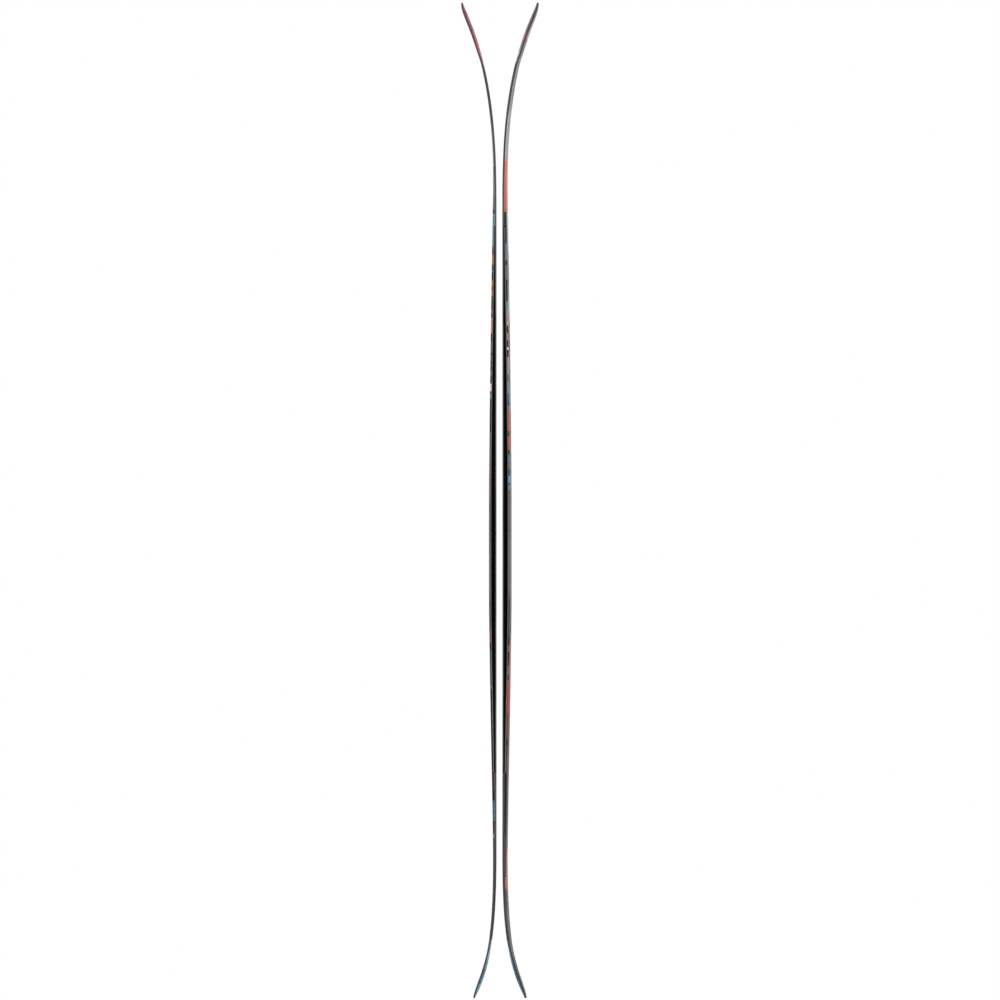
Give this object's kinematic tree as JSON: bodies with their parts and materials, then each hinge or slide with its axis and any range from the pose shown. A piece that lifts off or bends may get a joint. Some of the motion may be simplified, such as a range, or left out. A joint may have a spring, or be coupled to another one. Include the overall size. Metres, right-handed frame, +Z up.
{
  "type": "pair of twin-tip skis",
  "caption": "Pair of twin-tip powder-rocker skis stored upright base to base, in sandwich construction with steel edges, for gliding on deep snow.",
  "frame": {"origin": "on the floor under the tails, midway between the two bases", "axes": "+Z up along the skis from tails to tips, +X from the left ski to the right ski through their thickness, +Y across their width"},
  "size_m": [0.141, 0.1301, 1.8],
  "materials": {
    "topsheet": "printed polyamide sheet with abstract colour bands, satin clear coat",
    "glass_laminate": "cut edge of glass fibre in resin",
    "dark_laminate": "dark pigmented glass fibre laminate",
    "binding_plate": "brushed alloy sheet",
    "core_pale": "planed poplar",
    "core_dark": "planed ash",
    "carbon": "woven carbon tape in resin",
    "spacer": "moulded filler sheet",
    "base_black": "stone-ground sintered polyethylene",
    "base_red": "dyed sintered polyethylene, red to mauve",
    "base_blue": "dyed sintered polyethylene, teal to steel blue",
    "base_violet": "dyed sintered polyethylene, violet, red, green and yellow",
    "base_slate": "dyed sintered polyethylene, slate blue",
    "rim": "dark grey ABS",
    "sidewall": "ground black ABS",
    "steel": "ground and filed edge steel",
    "rubber": "thin damping foil"
  },
  "bodies": {
    "left_ski": {"left_base_center": "base_black", "left_base_tail": "base_blue", "left_base_tip": "base_red", "left_binding_plate": "binding_plate", "left_bottom_laminate": "dark_laminate", "left_carbon_stringer": "carbon", "left_core_stave_1": "core_pale", "left_core_stave_2": "core_dark", "left_core_stave_3": "core_pale", "left_core_stave_4": "core_dark", "left_core_stave_5": "core_pale", "left_rubber_strip_far": "rubber", "left_rubber_strip_near": "rubber", "left_sidewall_far": "sidewall", "left_sidewall_near": "sidewall", "left_steel_edge_far": "steel", "left_steel_edge_near": "steel", "left_tail_rim": "rim", "left_tail_spacer": "spacer", "left_tip_rim": "rim", "left_tip_spacer": "spacer", "left_top_laminate": "glass_laminate", "left_topsheet": "topsheet"},
    "right_ski": {"right_base_center": "base_black", "right_base_tail": "base_slate", "right_base_tip": "base_violet", "right_binding_plate": "binding_plate", "right_bottom_laminate": "dark_laminate", "right_carbon_stringer": "carbon", "right_core_stave_1": "core_pale", "right_core_stave_2": "core_dark", "right_core_stave_3": "core_pale", "right_core_stave_4": "core_dark", "right_core_stave_5": "core_pale", "right_rubber_strip_far": "rubber", "right_rubber_strip_near": "rubber", "right_sidewall_far": "sidewall", "right_sidewall_near": "sidewall", "right_steel_edge_far": "steel", "right_steel_edge_near": "steel", "right_tail_rim": "rim", "right_tail_spacer": "spacer", "right_tip_rim": "rim", "right_tip_spacer": "spacer", "right_top_laminate": "glass_laminate", "right_topsheet": "topsheet"}
  },
  "joints": [
    {"name": "pair_separation", "type": "slide", "parent": "left_ski", "child": "right_ski", "axis": [1, 0, 0], "range_m": [-0.0098, 0.2]}
  ]
}
